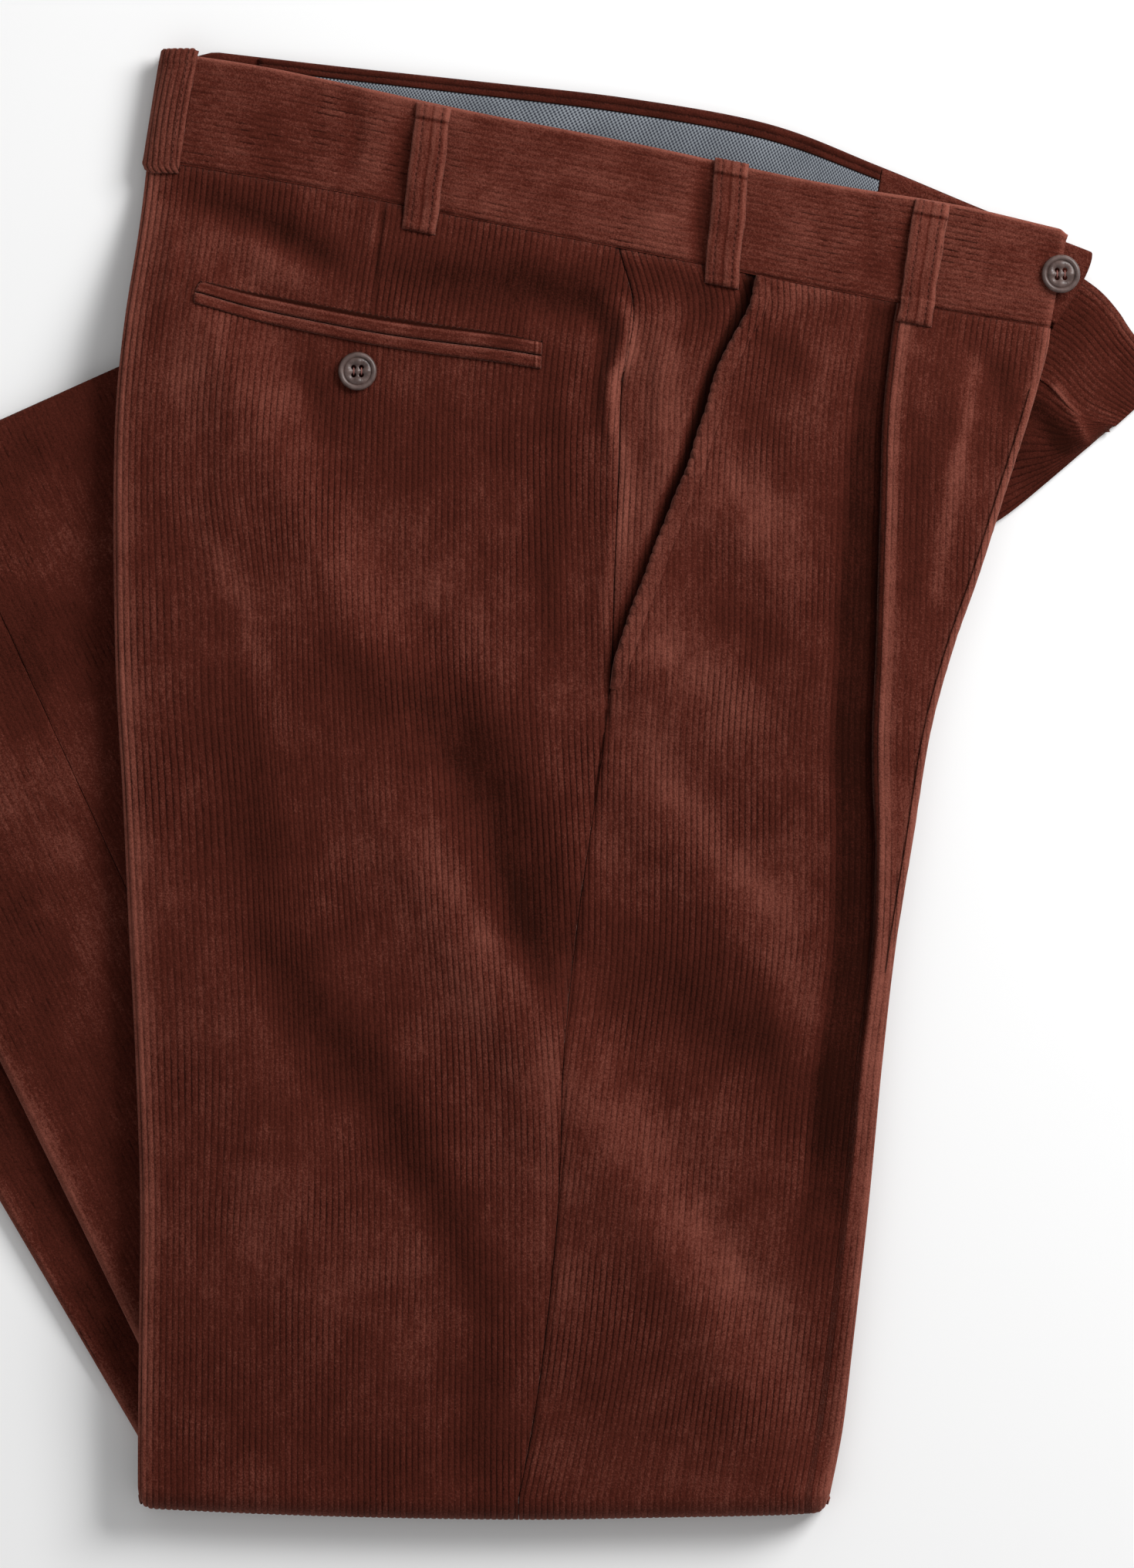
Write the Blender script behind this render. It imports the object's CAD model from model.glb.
import bmesh
import bpy
import numpy as np
from mathutils import Matrix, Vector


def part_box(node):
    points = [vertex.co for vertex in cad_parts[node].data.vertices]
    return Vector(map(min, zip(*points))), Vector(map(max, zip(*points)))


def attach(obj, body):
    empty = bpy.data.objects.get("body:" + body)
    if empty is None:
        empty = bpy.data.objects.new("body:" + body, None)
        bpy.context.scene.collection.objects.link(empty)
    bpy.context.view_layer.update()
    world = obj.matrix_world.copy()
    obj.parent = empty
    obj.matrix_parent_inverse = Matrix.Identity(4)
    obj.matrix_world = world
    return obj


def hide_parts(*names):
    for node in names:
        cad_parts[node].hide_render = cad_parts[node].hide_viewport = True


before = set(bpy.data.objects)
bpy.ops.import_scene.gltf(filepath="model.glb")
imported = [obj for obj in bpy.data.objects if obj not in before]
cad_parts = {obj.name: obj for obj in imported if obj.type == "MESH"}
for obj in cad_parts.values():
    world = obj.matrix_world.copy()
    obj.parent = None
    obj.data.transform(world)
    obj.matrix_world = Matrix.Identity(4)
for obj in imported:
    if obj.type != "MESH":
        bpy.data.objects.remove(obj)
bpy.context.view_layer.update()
MM = 0.001

# Corduroy. A cotton pile cloth of about ten wales to the inch, in chestnut brown. The pile shows
# lighter where it is brushed up on folds and edges, and darker in the grooves and hollows.
WALE = 2.5
STEP = WALE / 5
WALE_DEPTH = 0.38
CLOTH = 1.3
PILE_DARK = (0.020, 0.0036, 0.0018)
PILE_MIDDLE = (0.070, 0.0138, 0.0085)
PILE_LIGHT = (0.215, 0.066, 0.046)
PILE_SHEEN = (1.0, 0.52, 0.42, 1)
THREAD = (0.17, 0.052, 0.040)
STITCH = 2.6


class Value:
    """A socket of a material's nodes. Sums on it are written as plain Python."""

    def __init__(self, finish, socket):
        self.finish, self.socket = finish, socket

    def maths(self, operation, *others):
        sockets = dict(enumerate([self, *others]))
        return self.finish.node("Math", {"operation": operation}, sockets)

    def __add__(self, other):
        return self.maths("ADD", other)

    def __sub__(self, other):
        return self.maths("SUBTRACT", other)

    def __rsub__(self, other):
        return self * -1 + other

    def __mul__(self, other):
        return self.maths("MULTIPLY", other)

    def __pow__(self, other):
        return self.maths("POWER", other)

    __radd__ = __add__
    __rmul__ = __mul__

    def within(self, low, high):
        """0 below low, 1 above high and a straight rise between them."""
        return self.finish.node(
            "MapRange", {"clamp": True}, {0: self, 1: low, 2: high, 3: 0.0, 4: 1.0}
        )


class Finish:
    """A material and the one way that its nodes are added."""

    def __init__(self, name):
        self.material = bpy.data.materials.new(name)
        self.material.use_nodes = True
        self.tree = self.material.node_tree
        self.shader = self.tree.nodes["Principled BSDF"]

    def node(self, kind, settings=None, sockets=None, output=0):
        made = self.tree.nodes.new(f"ShaderNode{kind}")
        for name, value in (settings or {}).items():
            setattr(made, name, value)
        self.fill(made, sockets)
        return Value(self, made.outputs[output])

    def fill(self, made, sockets):
        for name, value in (sockets or {}).items():
            if isinstance(value, Value):
                self.tree.links.new(value.socket, made.inputs[name])
            else:
                made.inputs[name].default_value = value

    def parts(self, vector):
        split = self.node("SeparateXYZ", None, {0: vector}).socket.node
        return [Value(self, socket) for socket in split.outputs]

    def noise(self, vector, scale, detail=2.0):
        return self.node("TexNoise", None, {"Vector": vector, "Scale": scale, "Detail": detail})

    def mix(self, share, low, high):
        sockets = {0: share, 6: low, 7: high}
        colours = {k: (*v, 1) if isinstance(v, tuple) else v for k, v in sockets.items()}
        return self.node("Mix", {"data_type": "RGBA"}, colours, output=2)

    def bump(self, height, depth, strength=1.0):
        sockets = {"Height": height, "Distance": depth, "Strength": strength}
        self.fill(self.shader, {"Normal": self.node("Bump", None, sockets)})


def corduroy(name, wales_in_bump=0.0, closed=0.3):
    """Pile in wales along a piece's own grain. Its brushed attribute lightens the nap, the
    grooves are closed over a share of their length, and rows of stitches run where it says."""
    finish = Finish(name)
    grain = finish.node("UVMap", {"uv_map": "grain"})
    place = finish.node("TexCoord", output=3)
    across, along, _ = finish.parts(grain)
    brushed = finish.node("Attribute", {"attribute_name": "brushed"}, output=2)
    stitched = finish.node("Attribute", {"attribute_name": "stitched"}, output=2)
    fuzz = finish.noise(place, 1000.0, 2.0)
    pile = finish.noise(place, 1900.0, 2.0)
    ragged = across + (fuzz - 0.5) * 0.34
    rise = (ragged * np.pi).maths("SINE").maths("ABSOLUTE")
    groove = (1 - rise).within(0.4, 1.0)
    wale = finish.node("CombineXYZ", None, {0: across.maths("FLOOR"), 1: along * 0.05})
    seam = finish.node("CombineXYZ", None, {0: (across + 0.5).maths("FLOOR"), 1: along * 0.2})
    strand = finish.node("CombineXYZ", None, {0: across * 1.6, 1: along * 0.35})
    each = finish.noise(wale, 1.7, 1.0)
    run = finish.noise(seam, 1.9, 2.0)
    streak = finish.noise(strand, 1.3, 3.0)
    blotch = finish.noise(place, 17.0, 3.0)
    patch = finish.noise(place, 60.0, 3.0)
    zone = finish.noise(place, 24.0, 2.0)
    nap = (
        0.5 + brushed * 0.34 + (blotch - 0.5) * 0.5 + (patch - 0.5) * 0.5
        + (each - 0.5) * 0.35 + (streak - 0.5) * 0.45 + (pile - 0.5) * 0.95 + (fuzz - 0.5) * 0.6
    )
    worn = finish.mix(nap.within(0.5, 1.25), PILE_MIDDLE, PILE_LIGHT)
    lit = finish.mix(nap.within(-0.25, 0.5), PILE_DARK, worn)
    opened = (run + zone * 0.8 - 0.4 - closed).within(-0.06, 0.16)
    dark = tuple(0.35 * part for part in PILE_DARK)
    depth = 0.2 * (1 - closed) + opened * zone.within(0.25, 0.7) * 0.85
    pressed_pile = finish.mix(groove * depth, lit, dark)
    dots = (along * (2 * np.pi * WALE / STITCH)).maths("SINE").within(-0.45, 0.35)
    row = stitched.within(0.4, 0.9)
    dimpled = finish.mix(row * (1 - dots) * 0.75, pressed_pile, dark)
    finish.fill(finish.shader, {
        "Base Color": finish.mix(row * dots * 0.7, dimpled, THREAD),
        "Roughness": 0.82 + 0.16 * pile,
        "Specular IOR Level": 0.02,
        "Sheen Weight": 0.2,
        "Sheen Roughness": 0.45,
        "Sheen Tint": PILE_SHEEN,
    })
    sewn = row * dots * 1.6 - row * 1.2
    finish.bump(
        pile * 0.5 + fuzz * 0.6 + streak * 0.5 + rise * wales_in_bump + sewn, 0.0006, 0.8
    )
    return finish.material


corduroy_wales = corduroy("corduroy_wales")
corduroy_flat = corduroy("corduroy_flat", wales_in_bump=1.6)
corduroy_band = corduroy("corduroy_band", closed=0.58)
corduroy_loop = corduroy("corduroy_loop", closed=0.72)
corduroy_worn = corduroy("corduroy_worn", closed=0.6)

# Hidden layers. The left half and the folded calves under the right half's cloth: they show
# only at the edges of the pile, as rounded folds, and rest flat on the surface.
STACK_SINK = 2.4
bm = bmesh.new()
bm.from_mesh(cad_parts["folded_layers"].data)
bmesh.ops.remove_doubles(bm, verts=bm.verts[:], dist=1e-6)
bmesh.ops.subdivide_edges(bm, edges=bm.edges[:], cuts=1, use_grid_fill=True)
for _ in range(2):
    bmesh.ops.smooth_vert(
        bm, verts=bm.verts[:], factor=0.4, use_axis_x=True, use_axis_y=True, use_axis_z=True
    )
grain = bm.loops.layers.uv.new("grain")
brushed = bm.verts.layers.float.new("brushed")
for face in bm.faces:
    for loop in face.loops:
        spot = loop.vert.co / (WALE * MM)
        loop[grain].uv = (spot.x * 0.2 + spot.z, spot.y)
for vert in bm.verts:
    vert[brushed] = -0.6
    vert.co.z -= STACK_SINK * MM * min(max(vert.co.z / (8 * MM) - 0.5, 0), 1)
layers_mesh = bpy.data.meshes.new("folded_stack")
bm.to_mesh(layers_mesh)
bm.free()
layers_mesh.shade_smooth()
layers_mesh.materials.append(corduroy_flat)
folded_stack = bpy.data.objects.new("folded_stack", layers_mesh)
bpy.context.scene.collection.objects.link(folded_stack)
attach(folded_stack, "root")
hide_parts("folded_layers")

# Lower legs. Flattened tubes of two panels, folded back from the knee and swung out to the left,
# the left leg on the right one. Each is laid out along its own back crease, from the hem down.
LEG_HEIGHT, LEG_RELIEF = 6.0, 0.18
BACK_CREASE = [
    (-111, 259), (-114.5, 229), (-120, 192), (-123.5, 155.5), (-124.5, 117), (-124.5, 75.5),
    (-123.5, 37), (-121, -4.5), (-118.5, -59), (-115.5, -116.5), (-113.5, -174), (-114, -232),
    (-114.5, -273.5), (-114.5, -300.5),
]
LOWER_LEGS = [
    {
        "side": "left", "base": 6.3, "hem": (-279.5, 103), "down": (0.44, -0.898),
        "seam": (80.7, -0.03), "front": 181, "hem_slant": 0.034, "shade": 0.32,
        "back_cut": (0.175, 0.4, 0.05), "front_cut": (0.1, 0.21, 0.0105),
    },
    {
        "side": "right", "base": 0.0, "hem": (-313, 65), "down": (0.506, -0.862),
        "seam": (110, -0.03), "front": 222, "hem_slant": 0.02, "shade": 1.0,
        "back_cut": (0.2, 0.43, 0.064), "front_cut": (0.115, 0.23, 0.0115),
    },
]


def smooth(low, high, value):
    share = np.clip((value - low) / (high - low), 0, 1)
    return share * share * (3 - 2 * share)


def blend(low, high, share):
    return low + (high - low) * share


def bell(away, width):
    """1 in the middle, and soon nothing beyond its width."""
    return np.exp(-((away / width) ** 2))


def net(*parts):
    """Tables of single numbers, set side by side as points."""
    return np.stack(np.broadcast_arrays(*parts), axis=-1)


def line_through(points, count=400):
    """A smooth line through a table's points, as many points evenly along the table."""
    knots = np.array(points, float)
    ends = np.vstack([2 * knots[0] - knots[1], knots, 2 * knots[-1] - knots[-2]])
    at = np.linspace(0, len(knots) - 1, count)
    first = np.minimum(at.astype(int), len(knots) - 2)
    run = (at - first)[:, None]
    a, b, c, d = (ends[first + k] for k in range(4))
    bend = (2 * a - 5 * b + 4 * c - d) * run**2 + (3 * b - a - 3 * c + d) * run**3
    return 0.5 * (2 * b + (c - a) * run + bend)


def across_at(line, y):
    """Where an upright line runs at a height."""
    order = np.argsort(line[:, 1])
    return np.interp(y, line[order, 1], line[order, 0])


def along_at(line, x):
    """How high a level line runs at a place across."""
    order = np.argsort(line[:, 0])
    return np.interp(x, line[order, 0], line[order, 1])


def on_line(line, share):
    """The points that lie a share of the way along a line."""
    steps = np.linspace(0, 1, len(line))
    return np.stack([np.interp(share, steps, line[:, k]) for k in (0, 1)])


def wale_relief(phase):
    """Height of the rounded pile over the groove, 0 to 1, from the number of wales across."""
    return np.abs(np.sin(np.pi * phase)) ** 0.6


def ripple(x, y, size, seed):
    """A slow uneven wave, the same each run."""
    spin = np.random.default_rng(seed).uniform(0, 2 * np.pi, 12)
    total = 0
    for k in range(6):
        turn, pace = spin[k], 2 * np.pi / (size * (0.7 + 0.17 * k))
        total = total + np.sin((x * np.cos(turn) + y * np.sin(turn)) * pace + spin[k + 6])
    return total / 3


def cloth(
    name, points, grain, brushed=0.0, relief=WALE_DEPTH, thickness=CLOTH, finish=None, stitched=None
):
    """A closed sheet of cloth whose outer face follows rows and columns of points, with wales
    along its grain, a pair of numbers of wales across and along it for each point."""
    rows, columns = points.shape[0] - 1, points.shape[1] - 1
    normal = np.cross(np.gradient(points, axis=0), np.gradient(points, axis=1))
    size = np.linalg.norm(normal, axis=2)
    pile = np.array(np.broadcast_to(relief * wale_relief(grain[0]), points.shape[:2]))
    gone = size < 1e-6
    for order in (range(1, columns + 1), range(columns - 1, -1, -1)):
        for k in order:
            near = k - order.step
            fill = gone[:, k] & ~gone[:, near]
            for values in (normal, size, pile):
                values[fill, k] = values[fill, near]
            gone[fill, k] = False
    normal /= np.maximum(size, 1e-9)[:, :, None]
    layers = np.stack([points + normal * pile[:, :, None], points - normal * thickness])
    bm = bmesh.new()
    bmesh.ops.create_grid(bm, x_segments=columns, y_segments=rows, size=0.5)
    bmesh.ops.solidify(bm, geom=bm.faces[:], thickness=1)
    mesh = bpy.data.meshes.new(name)
    bm.to_mesh(mesh)
    bm.free()
    unit = np.empty(len(mesh.vertices) * 3)
    mesh.vertices.foreach_get("co", unit)
    unit = unit.reshape(-1, 3)
    column = np.rint((unit[:, 0] + 0.5) * columns).astype(int)
    row = np.rint((0.5 - unit[:, 1]) * rows).astype(int)
    layer = (unit[:, 2] < unit[:, 2].max() - 0.5).astype(int)
    mesh.vertices.foreach_set("co", (layers[layer, row, column] * MM).ravel())
    corner = np.empty(len(mesh.loops), int)
    mesh.loops.foreach_get("vertex_index", corner)
    spots = net(*grain)[row, column]
    mesh.uv_layers.new(name="grain").data.foreach_set("uv", spots[corner].ravel())
    for kind, values in (("brushed", brushed), ("stitched", stitched)):
        if values is not None:
            spread = np.broadcast_to(values, points.shape[:2])[row, column]
            mesh.attributes.new(kind, "FLOAT", "POINT").data.foreach_set("value", spread)
    bm = bmesh.new()
    bm.from_mesh(mesh)
    bmesh.ops.remove_doubles(bm, verts=bm.verts[:], dist=2e-6)
    bm.to_mesh(mesh)
    bm.free()
    mesh.shade_smooth()
    mesh.materials.append(finish or corduroy_wales)
    piece = bpy.data.objects.new(name, mesh)
    bpy.context.scene.collection.objects.link(piece)
    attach(piece, "root")
    return piece


def dress(nodes):
    """What the piece stands for, and the cut of cloth that it is."""
    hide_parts(*nodes)


back_crease = line_through(BACK_CREASE)
for leg in LOWER_LEGS:
    down = np.array(leg["down"])
    over = np.array([-down[1], down[0]])
    radius = LEG_HEIGHT / 2
    nose = radius * np.pi

    def leg_points(width, share, height, bend=0.0):
        """Points of a leg from its width off the back crease and the share of its way down."""
        start = leg["hem_slant"] * width
        reach = (-110 - leg["hem"][0] - over[0] * width) / down[0]
        for _ in range(3):
            y = leg["hem"][1] + over[1] * width + down[1] * reach
            edge = across_at(back_crease, y) + 7.2
            reach = (edge - leg["hem"][0] - over[0] * width) / down[0]
        length = blend(start, np.maximum(reach, start + 4), share)
        x, y = (leg["hem"][k] + over[k] * (width - bend) + down[k] * length for k in (0, 1))
        left = reach - length
        soft = smooth(8, 70, left) * smooth(0, 30, width) * smooth(0, 20, length)
        swell = ripple(x, y, 95, 3) * 0.9 + ripple(x, y, 40, 4) * 0.3
        fall = 0.5 * height * smooth(18, 0, length)
        z = leg["base"] + height + (np.maximum(swell, -0.4) * soft - fall) * (height > radius)
        nap = 0.45 * swell * soft - leg["shade"] + 0.9 * smooth(26, 4, left)
        return net(x, y, z), length, nap

    rows = np.linspace(0, 1, 66)[:, None]
    under = np.linspace(-84, -0.5, 16)
    cut = np.concatenate([under, np.arange(0, leg["seam"][0] + 14, STEP)])[None, :]
    turn = np.clip(cut / radius, 0, np.pi)
    seam = leg["seam"][0] + leg["seam"][1] * 0.5 * 380 * rows
    width = np.clip(np.where(cut < nose, np.maximum(-cut, 0), cut - nose), 0, seam)
    height = radius - radius * np.cos(turn)
    edge_fall = 0.3 * bell(seam - width, 0.9) * (cut > nose)
    points, length, nap = leg_points(
        width + radius, rows, height - edge_fall, radius * np.sin(turn)
    )
    nap = nap + 1.8 * bell(cut - nose * 0.6, 6)
    piece = cloth(
        f"{leg['side']}_lower_back", points, (cut / WALE + length * 0, length / WALE), nap,
        relief=LEG_RELIEF * smooth(-1, 3, cut), finish=corduroy_worn,
    )
    dress(
        [f"{leg['side']}_back_lower"],
    )
    for node, height, finish in [
        ("front_lower", LEG_HEIGHT, corduroy_worn), ("front_lower_under", CLOTH, corduroy_flat)
    ]:
        step = STEP if finish == corduroy_worn and leg["side"] == "left" else 4 * WALE
        cut = np.arange(leg["seam"][0] - 14, leg["front"], step)[None, :]
        width = np.maximum(cut, seam + 0.3)
        edge_fall = 0.3 * bell(seam - width, 0.9) * (height > radius)
        points, length, nap = leg_points(width + radius, rows, height - edge_fall)
        name = node.replace("lower", "panel") if "under" in node else "lower_front"
        piece = cloth(
            f"{leg['side']}_{name}", points, ((cut + nose) / WALE + length * 0, length / WALE),
            nap, relief=LEG_RELIEF if step == STEP else 0, finish=finish,
        )
        dress(
            [f"{leg['side']}_{node}"],
        )

# The right half's two panels. Their lines are the same as the solids': the waist seam, the
# pressed creases, the side seam and the pocket mouth, with folds pressed into the pile below.
SIDE_SEAM = [
    (84.5, 222), (90.5, 197), (85.5, 165), (84.5, 133), (83, 101), (82, 69), (80.5, 38),
    (75.5, -1.5), (67.5, -56), (61.5, -113.5), (59.5, -171), (54, -228.5), (48, -270),
    (41, -305.5),
]
POCKET_MOUTH = [
    (143, 210.5), (139.5, 197.5), (127, 172), (115.5, 135.5), (102, 101), (90, 69), (80.5, 38),
    (75.5, -1.5),
]
FRONT_CREASE = [
    (200, 199), (197.5, 184), (194, 152), (193, 120), (192, 86.5), (191, 53), (189.5, 18),
    (190, -24), (188.5, -68.5), (183, -116.5), (177.5, -174), (171, -232), (166, -270),
    (160, -303),
]
FRONT_EDGE = [
    (263.5, 189), (262, 179), (254.5, 152), (244.5, 120.5), (233.5, 86), (223, 56), (213.5, 21),
    (206.5, -22), (199, -68.5), (193.5, -116.5), (188, -174), (181.5, -232), (177, -270),
    (170.5, -301),
]
WAIST_SEAM = [
    (-111, 259), (-40, 247), (9, 237), (88, 221.5), (163.5, 206.5), (213.5, 197), (263.5, 189),
]
BOTTOM_EDGE = [
    (-114.5, -299), (-108, -301), (-40, -304), (41, -305.5), (100, -304.7), (150, -303.7),
    (171, -302.7),
]
FOLDS = [
    (2.6, 10, [(-22, 0), (-3, -31), (12, -60), (28, -87), (45, -112), (49, -150), (48, -178)]),
    (-2.4, 11, [(-8, 32), (13, 4), (28, -28), (41, -56), (54, -80), (66, -98)]),
    (2.0, 14, [(18, 60), (46, 20), (62, -20), (68, -58)]),
    (2.3, 12, [(68, 22), (90, -8), (108, -29), (126, -53), (143, -76), (154, -106)]),
    (-1.8, 14, [(122, 2), (144, -26), (165, -50)]),
    (-2.2, 14, [(70, -82), (98, -99), (130, -119), (160, -146)]),
    (2.3, 14, [(60, -140), (88, -180), (114, -212), (140, -240), (155, -264)]),
    (-2.3, 14, [(-88, -30), (-50, -92), (-20, -150), (4, -190), (15, -225), (18, -262)]),
    (1.5, 18, [(-84, -90), (-58, -160), (-40, -224)]),
    (1.7, 12, [(104, 134), (128, 112), (148, 86)]),
    (1.5, 12, [(90, 56), (104, 34), (120, 14)]),
    (-1.5, 12, [(134, 80), (148, 48), (150, 12)]),
    (-2.3, 8, [(-110, 250), (-70, 238), (-34, 219)]),
    (1.7, 8, [(-104, 234), (-72, 223), (-42, 206)]),
    (-1.4, 10, [(-22, 218), (22, 211), (72, 205)]),
    (1.4, 7, [(223, 178), (223, 150), (216, 100)]),
    (-1.3, 8, [(235, 182), (242, 164), (236, 136)]),
]
PUCKERS = [
    (2.6, 3.2, [(79, 203), (87, 195), (86.5, 182), (80, 168), (80, 150), (82, 136)]),
    (-1.7, 4, [(70, 199), (77, 188), (76, 174), (72, 156)]),
    (1.2, 4, [(82, 130), (81, 100), (76, 66)]),
    (-0.9, 6, [(66, 176), (67, 120), (62, 60)]),
    (1.2, 5, [(101, 184), (102, 160), (99, 136)]),
    (-0.8, 6, [(94, 188), (94, 150), (92, 108)]),
    (-0.9, 9, [(207, 150), (206, 110), (202, 70)]),
    (0.8, 6, [(-80, 180), (-75, 140), (-82, 100)]),
    (-0.7, 6, [(-95, 170), (-88, 130), (-96, 80)]),
    (0.9, 8, [(60, 20), (66, -30), (58, -80)]),
    (-0.7, 7, [(56, -130), (52, -180), (50, -230)]),
    (0.8, 3, [(-102, 236), (-100, 214), (-104, 196)]),
    (-0.8, 3, [(-97, 238), (-95, 216), (-98, 200)]),
]
BRUSHED = [
    (0.8, 6, [(2, -4), (13, -36), (26, -60), (40, -78), (53, -98), (59, -122), (58, -172)]),
    (0.35, 13, [(-20, -12), (0, -52), (28, -96), (48, -132)]),
    (0.75, 9, [(80, 40), (98, 10), (118, -14), (134, -38), (152, -56), (160, -82), (165, -108)]),
    (0.7, 13, [(76, -128), (100, -152), (116, -188), (134, -204), (152, -224), (166, -262)]),
    (0.3, 7, [(112, -184), (130, -200), (150, -220), (160, -246)]),
    (1.0, 15, [(94, 62), (108, 48)]),
    (1.0, 12, [(118, 46), (131, 36), (134, 12)]),
    (0.95, 15, [(118, 140), (132, 126), (149, 110), (162, 84)]),
    (2.2, 3.2, [(82, 203), (90, 194), (89.5, 180), (83, 167), (83, 150), (86, 136)]),
    (1.4, 4, [(85, 136), (87, 118), (84, 98), (79, 66)]),
    (0.6, 7, [(104, 184), (106, 160), (103, 134), (96, 90), (90, 70)]),
    (0.8, 9, [(146, 202), (164, 208), (182, 202)]),
    (0.5, 12, [(166, 176), (166, 140)]),
    (1.2, 3.5, [(233, 176), (229, 152), (223, 122), (216, 80)]),
    (0.8, 7, [(-86, 230), (-66, 221), (-44, 207)]),
    (0.5, 14, [(-70, 200), (-94, 172), (-104, 148)]),
    (0.55, 6, [(-100, 122), (-82, 98), (-68, 66), (-60, 34), (-54, -10)]),
    (0.3, 24, [(-60, 96), (14, 88)]),
    (0.35, 20, [(-74, -204), (-44, -152)]),
    (0.5, 9, [(60, -190), (66, -232)]),
    (-1.2, 14, [(-32, 46), (6, 32), (27, 4), (39, -28), (49, -60), (54, -80)]),
    (-0.7, 17, [(-10, 46), (24, 22), (48, -26), (60, -66)]),
    (-1.2, 7, [(36, -30), (46, -58), (53, -78)]),
    (
        -1.3, 12,
        [(-60, -70), (-35, -100), (-15, -127), (2, -156), (17, -182), (29, -212), (31, -292)],
    ),
    (-0.7, 16, [(-88, 52), (-72, 10), (-58, -40), (-48, -84)]),
    (-1.2, 17, [(70, -58), (100, -76), (126, -95), (150, -112), (168, -138)]),
    (-0.8, 6, [(140, 190), (150, 181), (166, 172)]),
    (-0.6, 8, [(124, 84), (132, 70), (148, 56)]),
    (-1.7, 8, [(-90, 245), (-60, 234), (-36, 219), (-28, 211)]),
    (-1.9, 11, [(-14, 215), (20, 209), (52, 207), (78, 200), (86, 191)]),
    (-1.3, 8, [(84, 216), (108, 209), (124, 202), (114, 188)]),
    (-1.0, 5, [(73, 200), (79, 188), (77, 172), (74, 150)]),
    (-0.9, 7, [(56, 176), (60, 130), (55, 90), (58, 50)]),
    (-0.4, 16, [(-18, 142), (40, 150)]),
    (-0.7, 8, [(-46, 182), (-38, 158), (-24, 146)]),
    (-0.7, 5, [(207, 150), (208, 110), (204, 70)]),
    (-0.8, 5, [(238, 180), (247, 163), (246, 150)]),
    (-0.5, 14, [(-60, -244), (-20, -286), (40, -270)]),
]
DART = [(-13.5, 240.5), (-15.5, 220), (-16.5, 199)]
DEEPEST = 1.7
WAIST_START, BOTTOM_START, PANEL_LENGTH = 230.0, -300.0, 560
WAIST_HEIGHT, THIGH_HEIGHT, CALF_LIFT, BOTTOM_DROP = 9, 13, 11.5, 3
CORNER, CORNER_INSET, BACK_CORNER = 6.5, 2.0, 0.5
CREASE_RADIUS = 2.9
BOTTOM_REACH = 9
FOLD_FLOOR = 2.2
CALF_EDGE = [(-78, 195.5), (170.5, -306)]
HEM_EDGE = [(-123, 173.5), (-78, 195.5)]
side_seam, pocket_mouth = line_through(SIDE_SEAM), line_through(POCKET_MOUTH)
front_crease, front_edge = line_through(FRONT_CREASE), line_through(FRONT_EDGE)
waist_seam, bottom_edge = line_through(WAIST_SEAM), line_through(BOTTOM_EDGE)


def near_path(path, x, y):
    """How far points lie from a path, and the share of the way along it that is nearest."""
    best, where = np.full(np.shape(x), 1e9), np.zeros(np.shape(x))
    for k, (start, end) in enumerate(zip(path, path[1:])):
        run = np.subtract(end, start)
        part = ((x - start[0]) * run[0] + (y - start[1]) * run[1]) / (run @ run)
        part = np.clip(part, 0, 1)
        away = np.hypot(x - start[0] - run[0] * part, y - start[1] - run[1] * part)
        near = away < best
        where = np.where(near, (k + part) / (len(path) - 1), where)
        best = np.where(near, away, best)
    return best, where


def pressed(folds, x, y):
    """Height of a table of soft ridges and troughs, each fading towards its ends."""
    total = 0
    for height, width, path in folds:
        away, where = near_path(path, x, y)
        fade = blend(0.45, 1, np.sin(np.pi * where))
        total = total + height * fade * bell(away, width)
    return total


def left_of(line, x, y):
    (ax, ay), (bx, by) = line
    return ((bx - ax) * (y - ay) - (by - ay) * (x - ax)) / np.hypot(bx - ax, by - ay)


def stack_height(x, y):
    """Top of the pile of layers: low at the waist, high over the folded calves. Troughs stop
    short of the layers underneath."""
    below = along_at(waist_seam, x) - y
    thigh = blend(WAIST_HEIGHT, THIGH_HEIGHT, smooth(0, 45, below))
    calves = smooth(-16, 14, -left_of(CALF_EDGE, x, y)) * smooth(-60, 6, -left_of(HEM_EDGE, x, y))
    bottom = BOTTOM_DROP * (1 - smooth(-300, -200, y))
    relief = pressed(FOLDS, x, y) + pressed(PUCKERS, x, y)
    relief = np.where(relief < 0, DEEPEST * np.tanh(relief / DEEPEST), relief)
    wave = 0.35 * ripple(x, y, 120, 7) + 0.12 * ripple(x, y, 30, 8)
    return thigh + CALF_LIFT * calves - bottom + (relief + wave) * smooth(2, 24, below)


def panel_rows(upper, lower):
    """Rows down a panel: shares of its height, and then angles round the bottom fold."""
    share = np.concatenate([
        np.linspace(0, 0.36, upper, endpoint=False), np.linspace(0.36, 1, lower), np.ones(14),
    ])
    angle = np.radians(np.concatenate([np.full(upper + lower, 90), np.linspace(82, -62, 14)]))
    return share[:, None], angle[:, None]


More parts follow.
